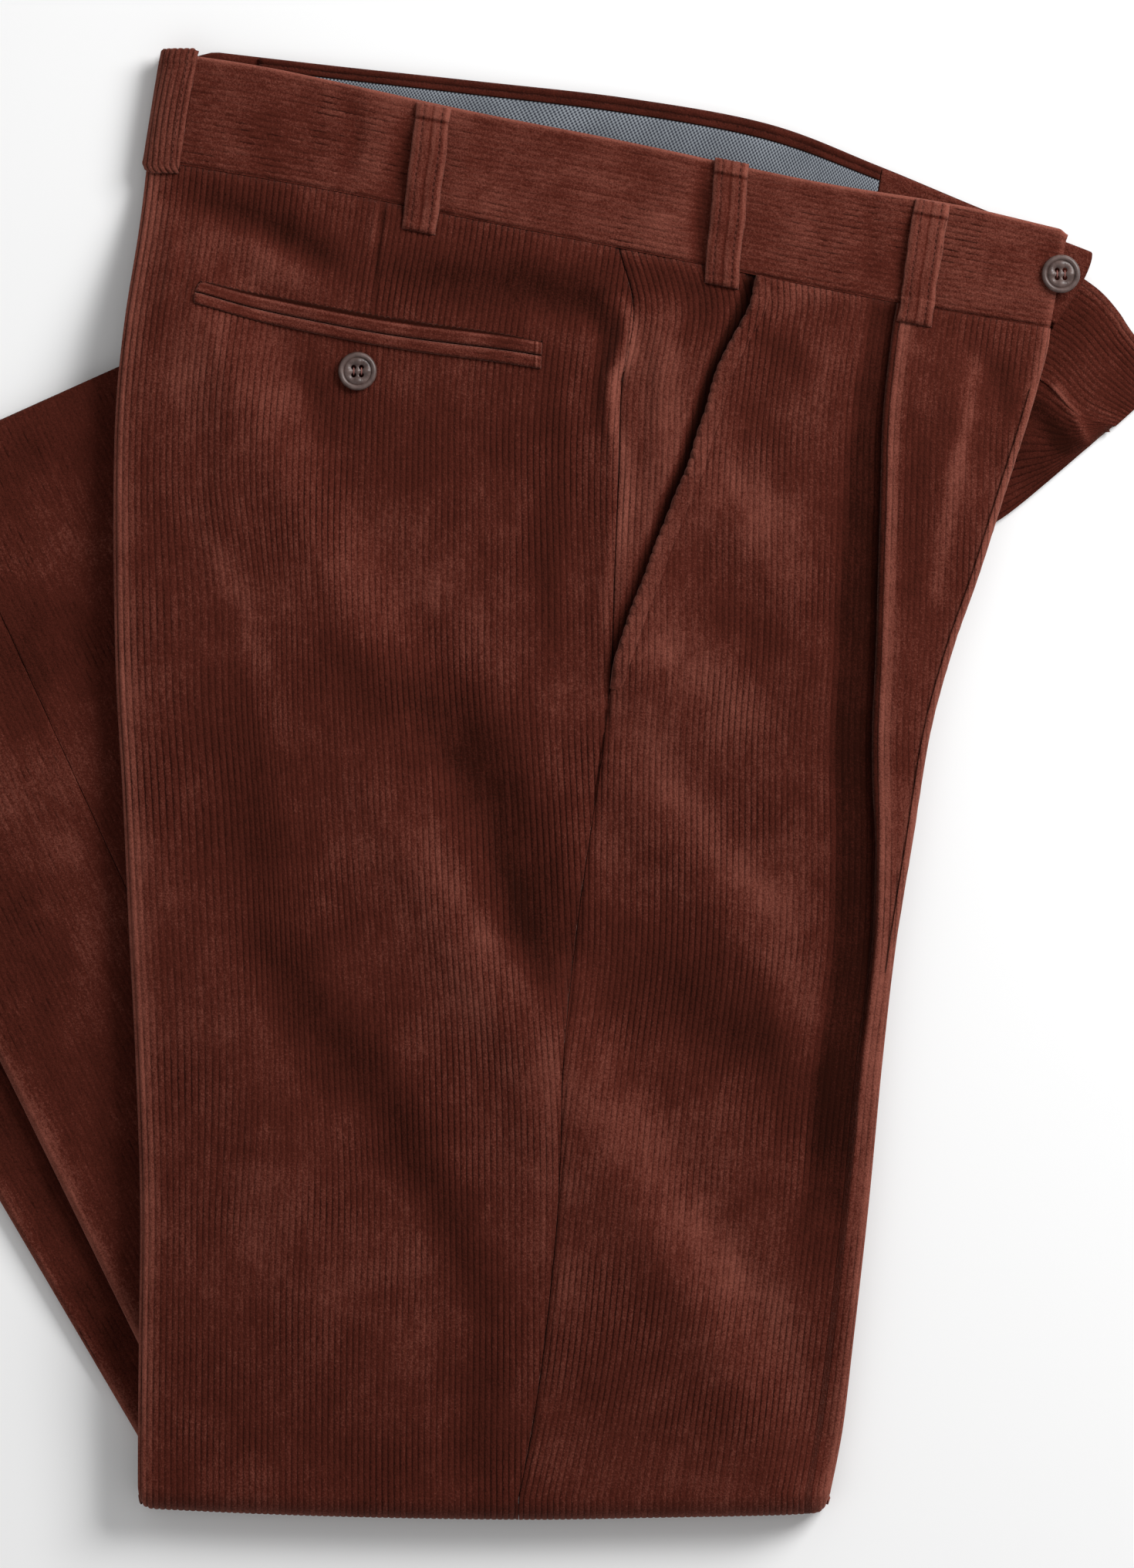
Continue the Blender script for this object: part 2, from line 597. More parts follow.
def panel_point(x_at, rows, lift, drop, corner, inward):
    """Points of the right half's outer face. x_at gives a point's place across at a height,
    and corner how much of the rounding at the bottom of the outer edge it takes."""
    share, angle = rows
    y = blend(WAIST_START, BOTTOM_START, share)
    for _ in range(4):
        x = x_at(y)
        y = blend(along_at(waist_seam, x), along_at(bottom_edge, x) + BOTTOM_REACH, share)
    height = stack_height(x, y) + lift
    middle, rise = height / 2, np.sin(angle)
    turned = middle + np.where(rise > 0, middle, middle - FOLD_FLOOR) * rise
    x = x + inward * CORNER_INSET * corner * np.cos(np.maximum(angle, 0)) ** 2
    y = y - (BOTTOM_REACH - CORNER * corner) * np.cos(angle)
    return net(x, y, turned * (1 - drop / height))


def corner_share(away):
    """How much of the bottom corner's rounding a point takes, from its distance to the edge."""
    return 1 - np.sqrt(1 - (1 - np.clip(away / CORNER, 0, 1)) ** 2)


def down_the_leg(rows):
    """Distance down a panel in wales, on round the bottom fold."""
    share, angle = rows
    return (share * PANEL_LENGTH + (np.pi / 2 - angle) * 10) / WALE


def crease_turn(arc):
    """Inset, drop and angle round a pressed crease, from the arc along the cloth."""
    angle = np.minimum(arc / CREASE_RADIUS - np.radians(50), np.pi / 2)
    return CREASE_RADIUS * (1 - np.cos(angle)), CREASE_RADIUS * (1 - np.sin(angle))


# Right back panel. Corduroy, cut with its wales along the pressed back crease, which it wraps,
# with a dart from the waist to the pocket. It is sewn to the front along the side seam.
arc_length = CREASE_RADIUS * np.radians(140)
WALE_DRAG = 7
rows = panel_rows(44, 58)
cut = np.arange(0, 216, STEP)[None, :]
inset, drop = crease_turn(cut)


def back_across(y):
    wander = 1.1 * ripple(cut, y, 120, 11) * smooth(8, 40, cut) * smooth(-300, -150, y)
    dragged = bell(cut - 46, 24) * smooth(132, 62, y) * smooth(-220, -60, y)
    wander = wander + WALE_DRAG * dragged
    x = across_at(back_crease, y) + inset + np.maximum(cut - arc_length, 0) + wander
    return np.minimum(x, across_at(side_seam, y) - 0.15)


corner = BACK_CORNER * corner_share(inset + np.maximum(cut - arc_length, 0))
points = panel_point(back_across, rows, 0, drop, corner, 1)
x, y = points[..., 0], points[..., 1]
seam_dip = bell(across_at(side_seam, y) - x, 1.7)
points[..., 2] -= 0.9 * seam_dip * (1 + 0.3 * ripple(y, y, 9, 12))
dart_away, dart_along = near_path(DART, x, y)
beside = near_path([(x - 3.2, y) for x, y in DART], points[..., 0], points[..., 1])[0]
points[..., 2] -= 1.4 * bell(dart_away, 1.1) * (1 - dart_along)
points[..., 2] += 0.9 * bell(beside, 1.8) * (1 - dart_along)
nap = pressed(BRUSHED, x, y) + 1.3 * bell(cut - 5, 6) - 0.5 * seam_dip
nap = nap - 1.3 * bell(dart_away, 1.1) + 0.5 * bell(beside, 1.6)
back_panel = cloth(
    "right_back_panel", points, (cut / WALE + nap * 0, down_the_leg(rows)), nap,
    relief=WALE_DEPTH * (1 + 0.8 * bell(cut, 11)),
)
dress(["right_back"])

# Right front panel. Its turned pocket mouth stands over the facing, its pleat is folded under
# itself at the waist and runs out into the pressed crease, and it wraps the open front edge.
PLEAT_DEPTH, PLEAT_TAIL, PLEAT_STEP, MOUTH_LIFT = 15, 2.2, 4.5, 3.0
PLEAT_END, PLEAT_GONE, MOUTH_END = 7.4, 9.4, 38
PLEAT_RAMP = [0, 0, 0, 0.02, 0.07, 0.18, 0.36, 0.58, 0.76, 0.91, 1]
section_y = [y for _, y in FRONT_CREASE]


def section_at(y):
    return np.interp(-y, [-value for value in section_y], range(len(section_y)))


def pleat_fold(y, turn):
    """Run and rise of the pleat's fold, a share of the way round it, at a height."""
    section = section_at(y)
    depth = blend(PLEAT_DEPTH, PLEAT_TAIL, smooth(0, PLEAT_END, section))
    opened = smooth(PLEAT_END - 1, PLEAT_END, section)
    step = 1 - smooth(PLEAT_END, PLEAT_GONE, section)
    runs = [
        0 * depth, depth * 0.6, depth, depth + 0.3, depth, depth * 0.5 + 1.1, 0 * depth + 2.2,
        0 * depth + 0.6, 0 * depth, 0 * depth + 0.6, 0 * depth + 2.3,
    ]
    rises = [0, 0, 0, 0.3, 0.6, 0.6, 0.6, 1.1, 2.5, 3.9, PLEAT_STEP]
    run, rise = 0, 0
    for k in range(len(runs)):
        weight = np.clip(1 - np.abs(turn * (len(runs) - 1) - k), 0, 1)
        run = run + weight * blend(runs[k], k * 0.22, opened)
        rise = rise + weight * blend(rises[k], PLEAT_STEP * PLEAT_RAMP[k], opened)
    return run, rise * step, step


side_cut = np.arange(-128, 0, STEP)
fold_cut = np.linspace(0, 1, 37)
front_cut = np.arange(2.3, 70, STEP)
nose_cut = np.linspace(arc_length, 0, 15)
part = np.concatenate([
    np.full(len(side_cut), 0), np.full(len(fold_cut), 1), np.full(len(front_cut), 2),
    np.full(len(nose_cut), 3),
])[None, :]
spot = np.concatenate([side_cut, fold_cut, front_cut, nose_cut])[None, :]
turn = np.where(part == 1, spot, 0)
inset, drop = crease_turn(np.where(part == 3, spot, arc_length))


def mouth_line(y):
    return np.where(y > MOUTH_END, across_at(pocket_mouth, y), across_at(side_seam, y))


def front_across(y):
    crease, front = across_at(front_crease, y), across_at(front_edge, y)
    run, _, _ = pleat_fold(y, turn)
    wander = 0.9 * ripple(spot, y, 110, 13) * smooth(-4, -30, spot)
    side = np.maximum(crease + spot + wander, mouth_line(y) + 0.15)
    flat = np.minimum(crease + spot, front - CREASE_RADIUS)
    return np.select([part == 0, part == 1, part == 2], [side, crease + run, flat], front - inset)


rows = panel_rows(50, 52)
share, _ = rows
y = blend(WAIST_START, BOTTOM_START, share)
for _ in range(4):
    x = front_across(y)
    y = blend(along_at(waist_seam, x), along_at(bottom_edge, x) + BOTTOM_REACH, share)
crease, front = across_at(front_crease, y), across_at(front_edge, y)
_, rise, step = pleat_fold(y, turn)
settle = PLEAT_STEP * step * (1 - 0.62 * smooth(0.3, 1, (x - crease) / (front - crease)))
from_mouth = x - mouth_line(y)
raised = MOUTH_LIFT * smooth(MOUTH_END - 20, MOUTH_END + 12, y)
lift = raised * (1 - smooth(6.5, 21, from_mouth)) * (part == 0)
lift = lift - 1.3 * bell(from_mouth, 1.3) * (part == 0) * smooth(0, 1, raised)
ridge = 1.5 * bell(x - crease - 2, 3.2) * (1 - step) * smooth(-250, -120, y)
lift = lift + np.select([part == 1, part >= 2], [rise, settle], 0) + ridge
corner = corner_share(front - x)
points = panel_point(front_across, rows, lift, drop, corner, -1)
x, y = points[..., 0], points[..., 1]
seam_dip = bell(x - mouth_line(y), 1.7) * smooth(MOUTH_END + 6, MOUTH_END - 6, y)
points[..., 2] -= 0.9 * seam_dip
nap = pressed(BRUSHED, x, y) - 0.5 * seam_dip
nap = nap + 1.6 * bell(x - front, 4)
nap = nap + 1.4 * bell(x - crease - 4.5, 3) * smooth(-260, -60, y)
deeper = smooth(190, 70, y)
hollow = smooth(-14 - 6 * deeper, -8 - 4 * deeper, x - crease) * (part < 2)
nap = nap - (1.2 + 0.9 * deeper) * hollow * smooth(-235, -120, y)
nap = nap + 0.5 * bell(from_mouth, 5) * (part == 0) * smooth(0, 1, raised)
at_nose = front - crease - CREASE_RADIUS
wales = np.where(part == 1, 6 * spot, np.minimum(spot, at_nose) / WALE)
wales = np.where(part == 3, (at_nose + arc_length - spot) / WALE, wales)
front_panel = cloth("right_front_panel", points, (wales, down_the_leg(rows)), nap)

# The mouth's turned edge is a roll that its stitches pucker, sewn along the front panel.
along = np.arange(0, 178, 0.6)[:, None]
turn = np.linspace(0, 1, 15)[None, :]
y = 211 - along * 0.965
x = across_at(pocket_mouth, y) + 0.3 * ripple(along, along * 0, 17, 14)
pucker = np.abs(np.sin(np.pi * along / 4.6 + 1.3 * ripple(along, along * 0, 23, 15))) ** 0.8
fade = smooth(0, 6, along) * smooth(178, 150, along)
reach = 0.1 + 0.42 * pucker * fade - 1.2 * smooth(164, 178, along)
out = blend(-5.5, reach, np.sin(turn * np.pi / 2) ** 0.8)
x, y = x - 0.94 * out, y + 0.33 * out
raised = MOUTH_LIFT * smooth(MOUTH_END - 20, MOUTH_END + 12, y)
flush = 0.42 * smooth(0, 0.3, turn) - 0.32 + 0.15 * pucker * np.sin(turn * np.pi) * fade
z = stack_height(x, y) + raised + flush - 2.9 * smooth(0.72, 1, turn) * smooth(0, 1, raised)
z = z - 1.2 * smooth(166, 178, along)
points = net(x, y, z)
nap = pressed(BRUSHED, x, y) + 0.4 + 0.4 * pucker * smooth(0.4, 0.8, turn)
nap = nap - 2.2 * smooth(0.82, 1, turn)
wales = (x - across_at(front_crease, y)) / WALE
edge_roll = cloth(
    "mouth_roll", points, (wales, y / WALE), nap, relief=WALE_DEPTH * smooth(1, 0.6, turn)
)
joined = bmesh.new()
for half in (front_panel, edge_roll):
    joined.from_mesh(half.data)
joined.to_mesh(front_panel.data)
joined.free()
bpy.data.meshes.remove(edge_roll.data)
dress(["right_front"])

# Pocket facing. A strip of corduroy that backs the slant pocket, between the side seam and the
# mouth, and lies a little under the front.
facing_share = np.linspace(0, 1, 40)[:, None]
cut = np.arange(0, 70, STEP)[None, :]
y = blend(222.0, 40.0, facing_share)
for _ in range(3):
    limit = np.maximum(across_at(pocket_mouth, y) + 5, across_at(side_seam, y) + 2)
    x = np.minimum(across_at(side_seam, y) + 0.15 + cut, limit)
    y = blend(along_at(waist_seam, x), 40.0, facing_share)
from_seam = x - across_at(side_seam, y)
z = stack_height(x, y) - 0.9 * bell(from_seam, 1.7)
hidden = across_at(pocket_mouth, y) - x
points = np.stack([x, y, z - 0.25 - 2.2 * smooth(8, 0, hidden)], axis=-1)
shade = 2.0 + 2.4 * smooth(70, 150, y)
nap = pressed(BRUSHED, x, y) + 0.3 - shade * smooth(8.5, 2.5, hidden) - 0.5 * np.exp(-from_seam)
facing = cloth("pocket_facing", points, (cut / WALE + x * 0, y / WALE), nap)
dress(["pocket_facing_right"])

# Left waistband. Seen from inside behind the right one: corduroy with a buttonhole end, faced
# with a blue and grey spotted lining, a brown binding along its top, and corduroy at the front.
LEFT_TOP = [
    (-95, 305.5), (-34.5, 298.5), (21.5, 292.5), (88, 285), (146.5, 274.3), (192, 257),
    (236.5, 238.5), (281, 221),
]
BAND_WIDTH, LEFT_BAND_TOP, LINING_SPAN = 45, 4.4, (0.07, 0.72)
LEFT_BAND_END, TAB_ROUNDING = 265, 2.6
LINING_LIGHT, LINING_DARK = (0.25, 0.272, 0.30), (0.026, 0.030, 0.042)
SPOT_PITCH, BINDING_WIDTH, LEFT_BAND_LENGTH = 1.45, 4.5, 380
left_top = line_through(LEFT_TOP)


def left_band(span, across, height, base):
    """A strip of the left waistband between shares of its length and its width."""
    share, down = np.linspace(*span, 130)[None, :], np.linspace(*across, 37)[:, None]
    top, seam = on_line(left_top, share), on_line(waist_seam, blend(0.035, 1, share))
    seam[0] = blend(seam[0], LEFT_BAND_END, smooth(0.85, 1, share))
    x, y = blend(top, seam, down)
    x = x + TAB_ROUNDING * np.sin(np.pi * down**0.65) * smooth(0.93, 1, share)
    y = y - 3.5 * smooth(0.03, 0, share) * (1 - down)
    z = base + height - 0.5 * np.exp(-((down - across[0]) / 0.03)) + 0.15 * ripple(x, y, 40, 21)
    points = net(x, y, z)
    along = share * LEFT_BAND_LENGTH / WALE + down * 0
    return points, (down * BAND_WIDTH / WALE + share * 0, along)


def lining_finish():
    """A woven ground with rows of small dark spots, set between each other."""
    finish = Finish("spotted_lining")
    across, along, _ = finish.parts(finish.node("UVMap", {"uv_map": "grain"}))
    place = finish.node("TexCoord", output=3)
    pace = 2 * np.pi * WALE / SPOT_PITCH
    dots = (across * pace).maths("COSINE") * (along * pace).maths("COSINE")
    weave = finish.noise(place, 2400.0)
    shade = finish.noise(place, 45.0, 3.0)
    spots = (dots + (weave - 0.5) * 0.9).within(-0.45, 0.35)
    light = finish.mix(shade.within(0.3, 0.7), tuple(0.7 * v for v in LINING_LIGHT), LINING_LIGHT)
    finish.fill(finish.shader, {
        "Base Color": finish.mix(spots, LINING_DARK, light), "Roughness": 0.8,
        "Specular IOR Level": 0.3,
    })
    finish.bump(weave + spots * 0.8, 0.0002, 0.6)
    return finish.material


points, grain = left_band((0, 1), (0, 1), LEFT_BAND_TOP, 0)
band = cloth("left_waistband", points, grain, -0.2, relief=0.3, finish=corduroy_band)
dress(["waistband_left"])
strip_base = LEFT_BAND_TOP + 0.5
binding_share = BINDING_WIDTH / BAND_WIDTH
points, grain = left_band(LINING_SPAN, (0.006, binding_share), 0.9, strip_base)
binding = cloth(
    "lining_binding", points, grain, -0.9, relief=0, thickness=0.5, finish=corduroy_flat
)
dress(["waistband_binding"])
points, grain = left_band(LINING_SPAN, (binding_share + 0.006, 0.96), 0.8, strip_base)
lining = cloth("band_lining", points, grain, 0, relief=0, thickness=0.5, finish=lining_finish())
dress(["waistband_lining"])
points, grain = left_band((LINING_SPAN[1] + 0.001, 0.995), (0.006, 0.96), 0.8, strip_base)
end_facing = cloth(
    "band_end_facing", points, grain, 0.1, relief=0.3, thickness=0.5, finish=corduroy_band
)
dress(["waistband_facing_left"])

# Fly bearer. The left front's flap in two pieces, turned out beyond the open front edge, its
# wales along the top edge above the seam and along the lower edge below it.
BEARER_TOP = {
    "near": [(272, 214), (284.5, 205), (292.3, 196.3), (298.1, 187.7), (313, 168)],
    "far": [(252, 172), (263, 165.5), (276, 152.7), (291, 148.5)],
}
BEARER_FLAP = {
    "near": [(251.5, 174), (263.5, 167.5), (276.5, 155), (291, 149.5)],
    "far": [(236, 105.5), (247, 112.5), (263.5, 126), (288, 147)],
}
BEARER_HOLLOW = [(252, 163), (262, 152), (270, 141)]
BEARER_PUCKER = [(266, 164), (274, 153), (279, 143)]
for name, node, edges in [
    ("fly_bearer_top", "fly_bearer_waist", BEARER_TOP),
    ("fly_bearer_flap", "fly_bearer", BEARER_FLAP),
]:
    share, down = np.linspace(0, 1, 60)[None, :], np.linspace(0, 1, 86)[:, None]
    start, end = (on_line(line_through(edges[side]), share) for side in ("near", "far"))
    x, y = blend(start, end, down)
    hollow = bell(near_path(BEARER_HOLLOW, x, y)[0], 5)
    pucker = bell(near_path(BEARER_PUCKER, x, y)[0], 2.2)
    seam = bell(down, 0.05) * (node == "fly_bearer")
    edge = bell(down - 0.05, 0.05) * (node != "fly_bearer")
    z = 2.4 + 0.35 * ripple(x, y, 22, 31) - 0.9 * seam - 0.7 * hollow + 1.2 * pucker
    points = net(x, y, np.maximum(z, 1.3))
    wales = down * 42 / WALE + share * 0
    nap = 0.35 * (node != "fly_bearer") - 0.62 + 0.8 * edge + 1.2 * pucker
    nap = nap - 1.6 * hollow - 0.9 * seam + 0.3 * ripple(x, y, 30, 32)
    flap = cloth(
        name, points, (wales, share * 55 / WALE + down * 0), nap, relief=0.4, thickness=1.2
    )
    dress([node])

# Right waistband. Corduroy with its wales along the band, over a stiff canvas: a rolled top edge,
# a seam to the panels, and it wraps the centre back fold.
BAND_TOP_EDGE = [
    (-105.5, 304), (-57, 296.5), (21.5, 279.5), (88, 266.5), (163.5, 250.5), (223.5, 240.5),
    (271, 229.5),
]
BAND_TOP, BAND_CLOTH, BAND_FOLD_RADIUS, BAND_FOLD_INSET = 9.6, 2.9, 4.7, 2.2
BAND_LENGTH = 392
BAND_PUCKERS = [
    (0.3, 4.5, [(-20, 288), (-17, 272), (-21, 250)]),
    (-0.8, 4.5, [(-29, 291), (-25, 270), (-28, 256)]),
    (-0.5, 8, [(-42, 290), (-38, 276)]),
    (-1.3, 4, [(-2, 280), (-6, 262), (-8, 243)]),
    (-1.6, 3, [(121, 258), (118, 236), (117, 214)]),
    (-1.0, 3, [(12, 240), (12, 230)]),
    (-0.7, 9, [(84, 266), (96, 252), (88, 234)]),
    (0.3, 8, [(104, 240), (98, 228)]),
    (-0.7, 6, [(190, 238), (188, 222), (190, 206)]),
    (0.6, 8, [(158, 236), (159, 218)]),
    (-0.8, 4, [(205, 236), (201, 220), (200, 205)]),
    (0.4, 9, [(238, 214), (262, 204)]),
    (-0.6, 7, [(258, 224), (266, 219)]),
    (0.2, 16, [(22, 256), (28, 242)]),
]
band_top_edge = line_through(BAND_TOP_EDGE)
fold_arc = BAND_FOLD_RADIUS * np.radians(140)
along = np.concatenate([
    np.linspace(0, fold_arc, 15)[:-1], np.linspace(fold_arc, BAND_LENGTH - 5, 190)[:-1],
    np.linspace(BAND_LENGTH - 5, BAND_LENGTH, 12),
])[None, :]
roll = BAND_CLOTH / 2
roll_arc = roll * np.pi / 2
down = np.arange(-roll_arc, 46, STEP)[:, None]
angle = np.minimum(along / BAND_FOLD_RADIUS - np.radians(50), np.pi / 2)
share = np.clip((along - fold_arc) / (BAND_LENGTH - fold_arc), 0, 1)
over = np.clip(down / roll, -np.pi / 2, 0)
width = np.clip(down + roll_arc, 0, None)


def band_point(share, across):
    return blend(on_line(band_top_edge, share), on_line(waist_seam, share), across)


across = np.where(down < 0, roll * (1 + np.sin(over)) / BAND_WIDTH, (roll + down) / BAND_WIDTH)
across = np.clip(across, 0, 1 - 0.3 / BAND_WIDTH)
inset = BAND_FOLD_INSET + BAND_FOLD_RADIUS * (1 - np.cos(angle)) * (along < fold_arc)
x, y = band_point(share, across)
turned = np.where(along < fold_arc, inset, BAND_FOLD_INSET + BAND_FOLD_RADIUS)
x = x + turned * smooth(0.12, 0, share)
y = blend(along_at(band_top_edge, x), along_at(waist_seam, x), across)
puckered = pressed(BAND_PUCKERS, x, y)
tab = smooth(BAND_LENGTH - 5, BAND_LENGTH, along)
y = y - 1.6 * tab * smooth(0.12, 0, across)
wave = 0.3 * ripple(x, y, 60, 41) + 0.12 * ripple(x, y, 20, 42) + puckered
z = BAND_TOP + wave * smooth(0, 12, along - fold_arc) - roll * (1 - np.cos(over))
z = z - BAND_FOLD_RADIUS * 0.94 * (1 - np.sin(angle))
z = z - 0.7 * bell((1 - across) * BAND_WIDTH, 1.2) - 0.9 * tab**3
points = net(x, y, z)
nap = 0.45 + 1.6 * bell(width - 1.2, 1.2) + 0.25 * wave + 0.6 * puckered
nap = nap + 0.7 * bell(along - fold_arc * 0.6, 5) + 0.6 * tab
nap = nap - 1.1 * np.exp(-((1 - across) * BAND_WIDTH / 0.9))
waistband = cloth(
    "right_waistband", points, (width / WALE + along * 0, along / WALE + width * 0), nap,
    relief=0.3, thickness=BAND_CLOTH - 0.4, finish=corduroy_band,
)
dress(["waistband_right"])

# Belt loops. Strips of corduroy folded to 14 mm, with two rows of stitches, sewn on over the
# waistband: a little stands up between the ends, and the back one wraps the centre fold.
LOOP_WIDTH, LOOP_RISE, LOOP_LENGTH = 14, 1.5, 52
LOOP_STITCHES, TURN_END = 0.55, 0.88
BELT_LOOPS = [
    ("back_loop", "belt_loop_back", (1.5, 229), (7.5, 281.5)),
    ("side_loop", "belt_loop_side", (127, 206.5), (131.5, 258.5)),
    ("front_loop", "belt_loop_front", (207, 190.5), (214.5, 241.5)),
]
CENTER_LOOP = {"foot": (-98.5, 253.5), "head": (-90, 305), "edge": (-113.9, -105.6)}


def top_of_stack(x, y):
    """The height under a loop: the waistband, or below its seam the panels."""
    crease, front = across_at(front_crease, y), across_at(front_edge, y)
    settle = PLEAT_STEP * (1 - 0.62 * smooth(0.3, 1, (x - crease) / (front - crease)))
    panel = stack_height(x, y) + settle * smooth(-1, 2, x - crease)
    return np.where(y > along_at(waist_seam, x), BAND_TOP, np.maximum(panel, BAND_TOP - 0.5))


def loop_rise(share):
    """A loop's height over what it is sewn to, with its ends tucked in."""
    stands = 0.65 + CLOTH + LOOP_RISE * np.sin(np.pi * share)
    ends = 0.9 * smooth(0.03, 0, share) + 0.7 * smooth(0.985, 1, share)
    return stands - ends + 0.5 * smooth(TURN_END, TURN_END + 0.02, share)


for k, (name, node, foot, head) in enumerate(BELT_LOOPS):
    share, side = np.linspace(1, 0, 90)[:, None], np.linspace(-1, 1, 35)[None, :]
    along = share * LOOP_LENGTH
    sway = 0.35 * ripple(along, along * 0, 30, 51 + k)
    half = LOOP_WIDTH / 2 * (1 + 0.03 * ripple(along, along * 0, 14, 61 + k))
    x = blend(foot[0], head[0], share) + side * half + sway
    y = blend(foot[1], head[1], share) - side * LOOP_WIDTH * 0.1
    under = np.max([top_of_stack(x, y + near) for near in (-3, 0, 3)], axis=0)
    rounded = 1.3 * np.abs(side) ** 7 + 0.4 * bell(side, 0.1)
    stitches = bell(np.abs(side) - LOOP_STITCHES, 0.07)
    fold = bell(share - TURN_END, 0.014)
    z = under + loop_rise(share) - rounded - 0.35 * stitches - 0.4 * fold
    z = z + 0.25 * ripple(x, y, 12, 71 + k)
    points = net(x, y, z)
    nap = 0.4 + 1.1 * smooth(0.72, 0.9, np.abs(side)) - 0.9 * smooth(0.93, 1, np.abs(side))
    nap = nap + 0.7 * bell(side - 0.22, 0.12) - 0.9 * bell(side, 0.07)
    nap = nap - 1.3 * fold + 0.5 * smooth(TURN_END, TURN_END + 0.03, share)
    nap = nap - 0.8 * smooth(0.02, 0, share)
    wales = side * LOOP_WIDTH / 2 / WALE + 0.5 + share * 0
    loop = cloth(
        name, points, (wales, along / WALE + side * 0), nap, relief=0.2, finish=corduroy_loop,
        stitched=0.72 * stitches * smooth(0, 0.03, share),
    )
    dress([node])

share, arc = np.linspace(1, 0, 90)[:, None], np.arange(0, 27, STEP)[None, :]
right = blend(CENTER_LOOP["foot"][0], CENTER_LOOP["head"][0], share)
y = blend(CENTER_LOOP["foot"][1], CENTER_LOOP["head"][1], share) + 0 * arc
y = y - 4.5 * smooth(7, 0, arc) ** 2 * smooth(0.85, 1, share)
y = y + 2.6 * smooth(9, 0, arc) * smooth(0.15, 0, share)
fold = blend(*CENTER_LOOP["edge"], share) + 1.3 * smooth(0.07, 0, share)
rise = loop_rise(share)
reach = BAND_FOLD_RADIUS + rise - 0.35
angle = np.minimum(arc / reach - np.radians(20), np.pi / 2)
turned = reach * np.radians(110)
x = np.minimum(fold + reach * (1 - np.cos(angle)) + np.maximum(arc - turned, 0), right)
edge_share = smooth(2.2, 0, right - x)
y = y - 1.2 * edge_share * smooth(0.95, 1, share)
z = BAND_TOP + rise - reach * 0.9 * (1 - np.sin(angle)) - 1.0 * edge_share**2
points = net(x, y, z)
nap = 0.8 + 0.6 * edge_share - 1.6 * smooth(0.6, 0, right - x) + 0.5 * bell(arc - 6, 6)
stitches = 0.72 * bell(right - x - 4, 0.5) * smooth(0, 0.03, share)
center_loop = cloth(
    "center_back_loop", points, (arc / WALE + y * 0, y / WALE), nap, relief=0.45,
    stitched=stitches,
)
dress(
    ["belt_loop_center_back"],
)

# Back pocket. Two narrow welts of corduroy, wales along them, set in the back panel with a bar
# of stitches at one end and a button below.
WELT_TOP = [(-92.5, 209), (-68.5, 202.5), (-29, 194.5), (-1, 190), (36.5, 185.5), (52.5, 183)]
WELT_BOTTOM = [(-91.5, 199), (-66, 192), (-31, 184.5), (-2, 179.5), (36, 174.5), (52, 172)]
welt_top, welt_bottom = line_through(WELT_TOP), line_through(WELT_BOTTOM)
for name, node, span in [
    ("upper_welt", "back_pocket_welt_upper", (0, 0.47)),
    ("lower_welt", "back_pocket_welt_lower", (0.53, 1)),
]:
    share = np.linspace(0, 1, 250)[None, :]
    lip = [-1, -0.6, -0.3] if span[0] == 0 else []
    down = np.concatenate([lip, np.linspace(*span, 14)])[:, None]
    start, end = on_line(welt_top, share), on_line(welt_bottom, share)
    tip = smooth(0.035, 0, share) * (1 - np.maximum(down, 0)) ** 2
    x, y = blend(start, end, np.maximum(down, 0))
    x, y = x + 3.2 * tip, y - 1.6 * tip
    gap = 0.4 + 2.0 * np.sin(np.pi * np.clip(share * 1.15 - 0.03, 0, 1)) ** 0.8
    ragged = 0.5 + 0.5 * wale_relief(x / WALE)
    y = y + np.maximum(-down, 0) * gap * ragged * smooth(0.02, 0.07, share)
    middle = (down - sum(span) / 2) / 0.235
    edge = smooth(0.985, 1, np.abs(2 * share - 1))
    z = stack_height(x, y) + np.where(down < 0, 0.95, 2.0 - 0.9 * np.abs(middle) ** 4 - 0.8 * edge)
    points = net(x, y, z)
    worn = bell(down - span[0] - 0.06, 0.05)
    nap = 0.05 + 0.6 * worn - 0.5 * smooth(0.75, 1, middle) + 0.35 * ripple(x, y, 25, 81)
    nap = np.where(down < 0, -3.5, nap)
    bar = bell(share - 0.975, 0.006)
    nap = nap + 1.6 * bar * (down >= 0) - 1.4 * smooth(0.006, 0, np.abs(share - 0.96))
    stitches = 0.58 * bell(down - 0.95, 0.035) + share * 0
    welt = cloth(
        name, points, (down * 10 / WALE + share * 0, share * 148 / WALE + down * 0), nap,
        relief=0.2, thickness=0.9, finish=corduroy_band, stitched=stitches,
    )
    dress([node])

# Buttons. Turned from horn: a dished face with a raised rim and four holes, sewn on with brown
# thread through the holes.
FACE_RADIUS, FACE_BASE, FACE_DEPTH = 6.2, 0.7, 1.0
HOLE_RADIUS, HOLE_SPREAD = 1.05, 1.6
BUTTONS = [("front_button", "waistband_button"), ("pocket_button", "back_pocket_button")]
HORN_DARK, HORN_LIGHT = (0.046, 0.026, 0.022), (0.135, 0.088, 0.078)
THREAD_RADIUS, THREAD_ARC, THREAD_BASE = 0.32, 1.3, 0.6
RIM_PROFILE = [
    (5.6, 1.3), (5.9, 2.0), (6.6, 2.5), (7.4, 2.4), (8.0, 1.6), (7.8, 0.6), (6.6, 0.1),
    (5.6, 0.4),
]


